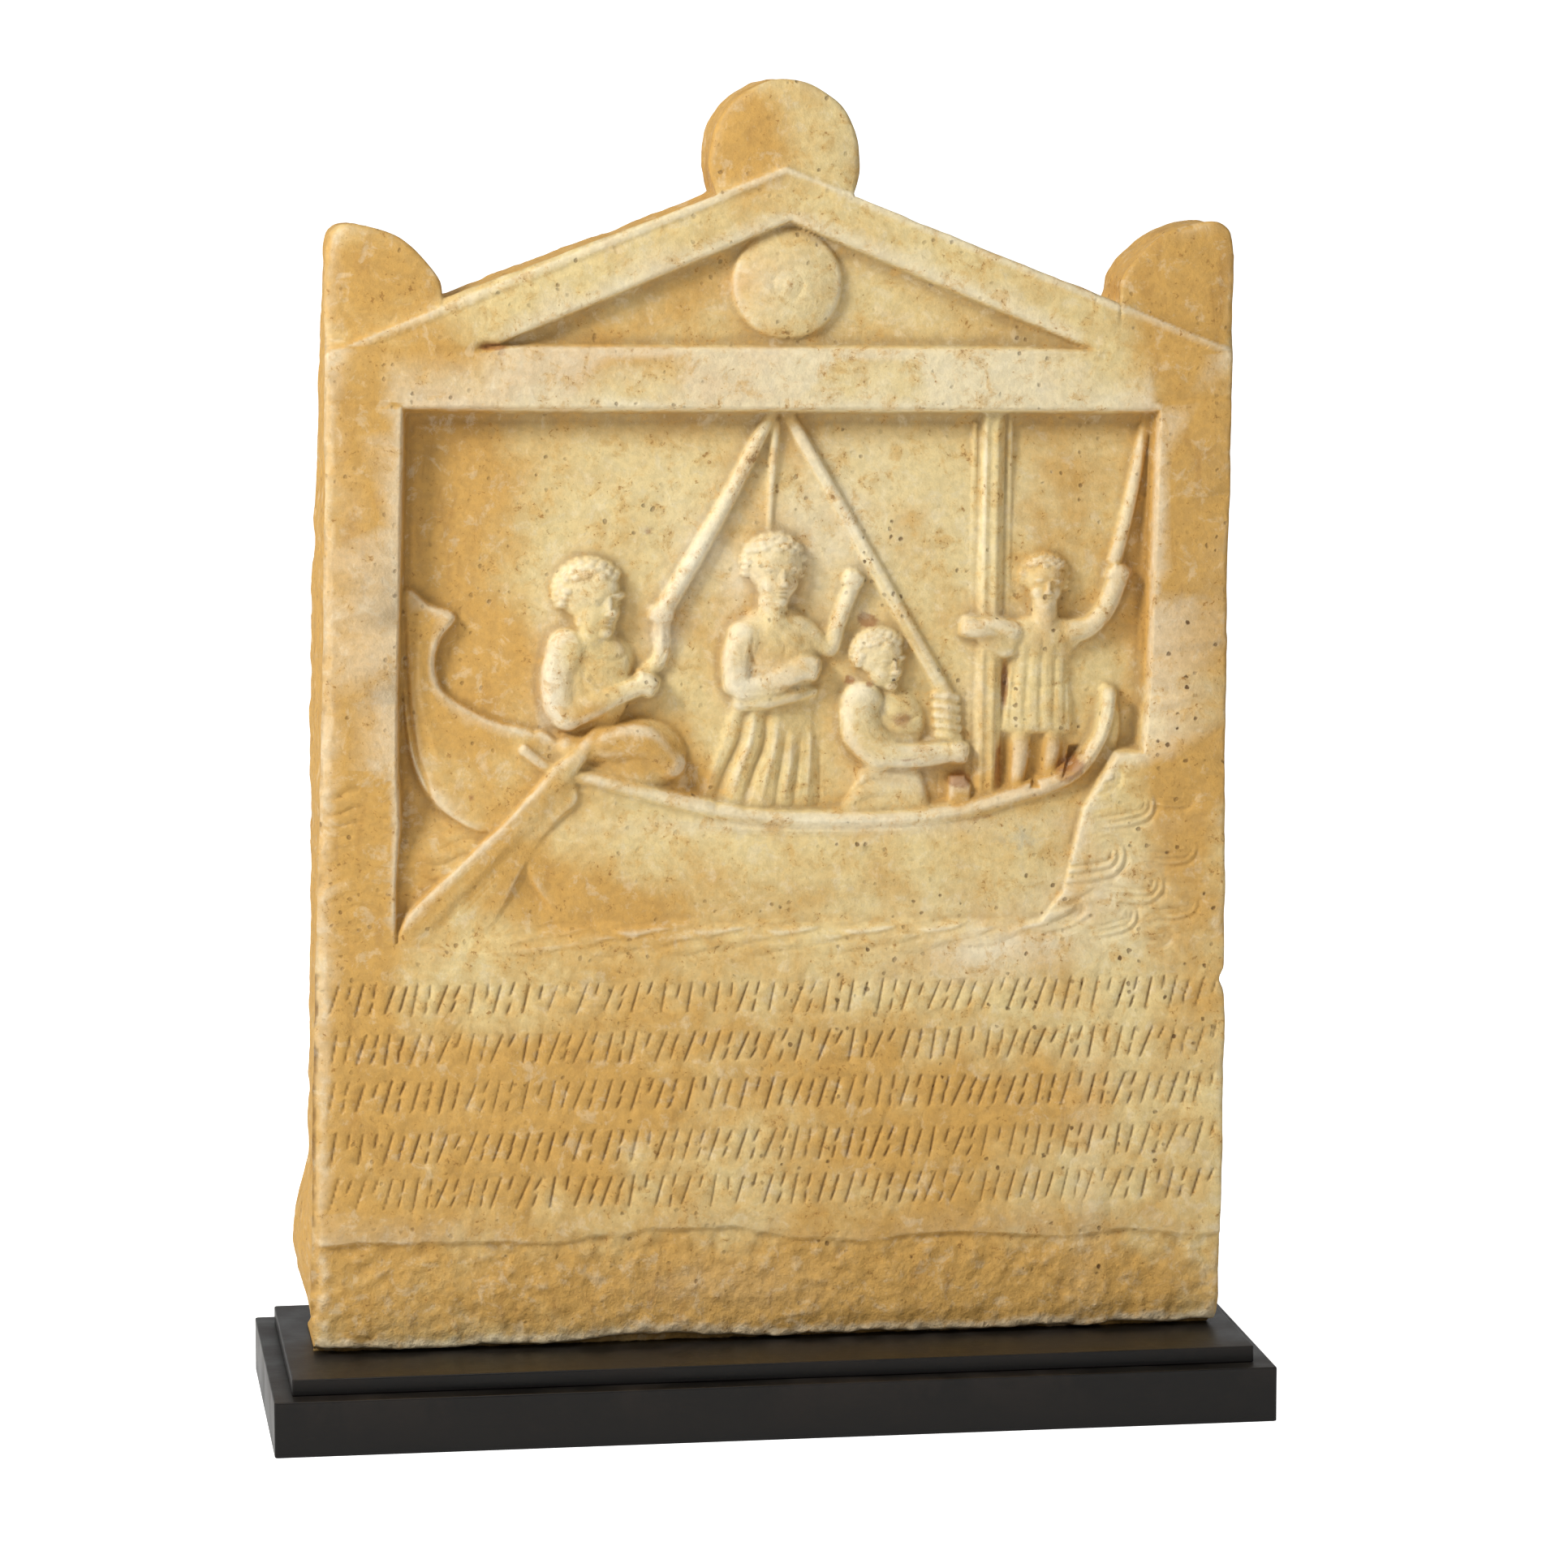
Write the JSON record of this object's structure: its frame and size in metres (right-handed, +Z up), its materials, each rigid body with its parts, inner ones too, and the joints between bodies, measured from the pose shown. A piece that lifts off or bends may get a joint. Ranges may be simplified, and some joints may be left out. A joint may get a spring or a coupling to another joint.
{
  "type": "carved stone grave stele on a plinth",
  "caption": "Upright marble grave stele with a pediment, a sunk relief of a boat and its crew and rows of strokes, on a stepped dark plinth.",
  "frame": {"origin": "middle of the plinth's underside", "axes": "+Z up, +X to the right across the carved front, +Y back into the stone; the carved front faces -Y"},
  "size_m": [0.5, 0.1818, 0.6665],
  "materials": {
    "marble": "weathered, matt, with ochre patina and fine pitting",
    "painted_wood": "satin black-brown paint"
  },
  "bodies": {
    "root": {"plinth_bottom_slab": "painted_wood", "plinth_top_slab": "painted_wood", "stele": "marble"}
  },
  "joints": []
}
